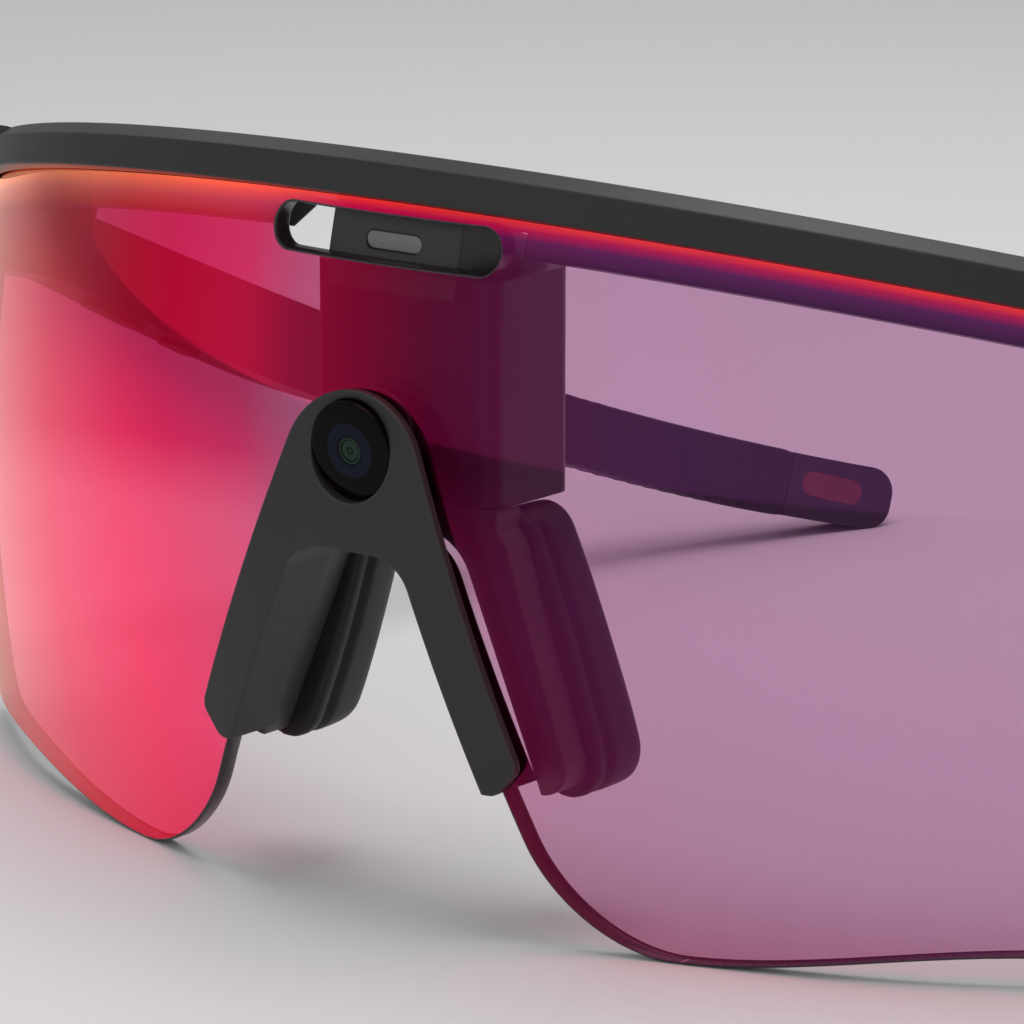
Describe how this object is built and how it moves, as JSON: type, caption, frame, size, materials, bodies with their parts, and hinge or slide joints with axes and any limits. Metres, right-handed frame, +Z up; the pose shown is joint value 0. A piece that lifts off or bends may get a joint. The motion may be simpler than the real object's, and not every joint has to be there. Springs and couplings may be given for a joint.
{
  "type": "wraparound sport sunglasses",
  "caption": "Shield-lens sport sunglasses with a brow bar, bridge camera, vent slot, soft nose pads and folding temples that hold a speaker, battery and board.",
  "frame": {"origin": "middle of the object's base: the plane through the two lens lobes and the two temple tips that it stands on, under the centre of its box", "axes": "+X to the wearer's left, +Y from the lens back to the temple tips, +Z up"},
  "size_m": [0.1386, 0.1408, 0.0619],
  "materials": {
    "battery": "foil pouch",
    "board": "solder mask",
    "brow": "fine matte black",
    "brow_cap": "satin black",
    "button": "satin black",
    "carrier": "satin black",
    "contact": "gold plated",
    "dark_metal": "blackened steel",
    "flex": "polyimide film",
    "housing": "matte black",
    "inlay": "glossy red",
    "lens": "glossy mirrored tint",
    "light": "frosted",
    "optic": "coated optic",
    "pad_rubber": "soft touch",
    "satin_cover": "satin dark grey",
    "sensor": "chip package",
    "sock_rubber": "soft touch",
    "speaker": "moulded",
    "steel": "satin",
    "temple": "matte black",
    "temple_inner": "matte black",
    "temple_tip": "satin black",
    "window": "polished"
  },
  "bodies": {
    "front": {"bridge_back": "housing", "bridge_cover": "satin_cover", "bridge_housing": "housing", "bridge_screws": "steel", "brow_cap": "brow_cap", "brow_flex": "flex", "brow_frame": "brow", "camera_barrel": "dark_metal", "camera_lens": "optic", "camera_sensor": "sensor", "camera_window": "window", "charging_contacts": "contact", "front_hinge_left": "dark_metal", "front_hinge_right": "dark_metal", "hinge_pin_left": "steel", "hinge_pin_right": "steel", "lens_retainer": "dark_metal", "light_board": "board", "light_window": "light", "nose_pad_left": "pad_rubber", "nose_pad_right": "pad_rubber", "pad_carrier": "carrier", "shield_lens": "lens"},
    "temple_left": {"battery_left": "battery", "circuit_board_left": "board", "ear_sock_left": "sock_rubber", "speaker_grille_left": "speaker", "speaker_left": "speaker", "temple_cover_left": "temple_inner", "temple_hinge_left": "dark_metal", "temple_shell_left": "temple", "temple_tip_left": "temple_tip", "tip_inlay_left": "inlay"},
    "temple_right": {"battery_right": "battery", "circuit_board_right": "board", "ear_sock_right": "sock_rubber", "speaker_grille_right": "speaker", "speaker_right": "speaker", "temple_cover_right": "temple_inner", "temple_hinge_right": "dark_metal", "temple_shell_right": "temple", "temple_tip_right": "temple_tip", "tip_inlay_right": "inlay"},
    "capture_button": {"capture_button": "button"},
    "action_button": {"action_button": "button"},
    "power_switch": {"power_switch": "button"}
  },
  "joints": [
    {"name": "left_temple_fold", "type": "hinge", "parent": "front", "child": "temple_left", "pos_m": [0.0624, -0.03447, 0.04294], "axis": [0, 0.3186, 0.9479], "range_deg": [0, 83]},
    {"name": "right_temple_fold", "type": "hinge", "parent": "front", "child": "temple_right", "pos_m": [-0.0624, -0.03447, 0.04294], "axis": [0, -0.3186, -0.9479], "range_deg": [0, 70]},
    {"name": "capture_button_press", "type": "slide", "parent": "temple_right", "child": "capture_button", "axis": [0, 0.3186, 0.9479], "range_m": [0, 0.0004], "stiffness_N_per_m": 400, "springref_m": -0.0005},
    {"name": "action_button_press", "type": "slide", "parent": "temple_right", "child": "action_button", "axis": [0, 0.3186, 0.9479], "range_m": [0, 0.0004], "stiffness_N_per_m": 400, "springref_m": -0.0005},
    {"name": "power_switch_slide", "type": "slide", "parent": "temple_left", "child": "power_switch", "axis": [0, 0.9479, -0.3186], "range_m": [0, 0.002]}
  ]
}
